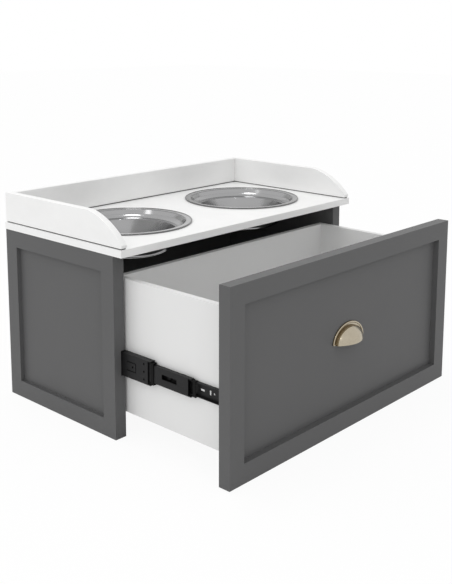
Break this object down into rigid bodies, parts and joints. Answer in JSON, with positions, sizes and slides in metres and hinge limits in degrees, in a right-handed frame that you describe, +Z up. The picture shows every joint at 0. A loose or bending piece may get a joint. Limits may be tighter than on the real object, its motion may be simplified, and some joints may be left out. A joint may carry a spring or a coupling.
{
  "type": "elevated dog feeder with storage",
  "caption": "Raised pet feeder: steel bowls drop into a railed white top over a wide shaker-style drawer on telescopic slides.",
  "frame": {"origin": "On the floor, under the middle of the feeder's bounding box with the drawer pulled out as it is at rest", "axes": "+X runs across the front to the right as seen by someone facing the drawer, +Y from the drawer's front to the back panel, +Z up"},
  "size_m": [0.693, 0.623, 0.424],
  "materials": {
    "grey_paint": "satin",
    "white_top": "satin",
    "white_box": "satin",
    "steel": "polished",
    "pull_brass": "satin",
    "slide_black": "satin",
    "cage_black": "matte",
    "screw_steel": "bright",
    "dowel_wood": "raw"
  },
  "bodies": {
    "cabinet": {"side_left": "grey_paint", "side_right": "grey_paint", "back_panel": "grey_paint", "stretcher": "grey_paint", "top_slab": "white_top", "rail_back": "white_top", "rail_left": "white_top", "rail_right": "white_top", "back_screws": "screw_steel", "rail_screws": "screw_steel", "slab_dowels": "dowel_wood", "stretcher_dowels": "dowel_wood", "track_left": "slide_black", "track_right": "slide_black", "track_screws": "screw_steel"},
    "drawer": {"drawer_front": "grey_paint", "box_front": "white_box", "box_side_left": "white_box", "box_side_right": "white_box", "box_back": "white_box", "box_floor": "white_box", "cup_pull": "pull_brass", "pull_screws": "screw_steel", "front_screws": "screw_steel", "box_dowels": "dowel_wood", "inner_left": "slide_black", "inner_right": "slide_black", "inner_screws": "slide_black"},
    "slide_outers": {"outer_left": "slide_black", "outer_right": "slide_black"},
    "slide_middles": {"middle_left": "slide_black", "middle_right": "slide_black"},
    "outer_cages": {"outer_cage_left": "cage_black", "outer_cage_right": "cage_black"},
    "inner_cages": {"inner_cage_left": "cage_black", "inner_cage_right": "cage_black"},
    "bowl_left": {"bowl_left": "steel"},
    "bowl_right": {"bowl_right": "steel"}
  },
  "joints": [
    {"name": "drawer_slide", "type": "slide", "parent": "cabinet", "child": "drawer", "axis": [0, -1, 0], "range_m": [-0.256, 0.02]},
    {"name": "outer_slide", "type": "slide", "parent": "cabinet", "child": "slide_outers", "axis": [0, -1, 0], "range_m": [-0.08468, 0.0068]},
    {"name": "middle_slide", "type": "slide", "parent": "cabinet", "child": "slide_middles", "axis": [0, -1, 0], "range_m": [-0.17684, 0.014]},
    {"name": "outer_cage_slide", "type": "slide", "parent": "cabinet", "child": "outer_cages", "axis": [0, -1, 0], "range_m": [-0.13076, 0.0104]},
    {"name": "inner_cage_slide", "type": "slide", "parent": "cabinet", "child": "inner_cages", "axis": [0, -1, 0], "range_m": [-0.21652, 0.0171]},
    {"name": "bowl_left_lift", "type": "slide", "parent": "cabinet", "child": "bowl_left", "axis": [0, 0, 1], "range_m": [0, 0.12]},
    {"name": "bowl_right_lift", "type": "slide", "parent": "cabinet", "child": "bowl_right", "axis": [0, 0, 1], "range_m": [0, 0.12]}
  ],
  "couplings": [
    {"joint": "outer_slide", "follows": "drawer_slide", "ratio": 0.33},
    {"joint": "middle_slide", "follows": "drawer_slide", "ratio": 0.69},
    {"joint": "outer_cage_slide", "follows": "drawer_slide", "ratio": 0.51},
    {"joint": "inner_cage_slide", "follows": "drawer_slide", "ratio": 0.845}
  ]
}
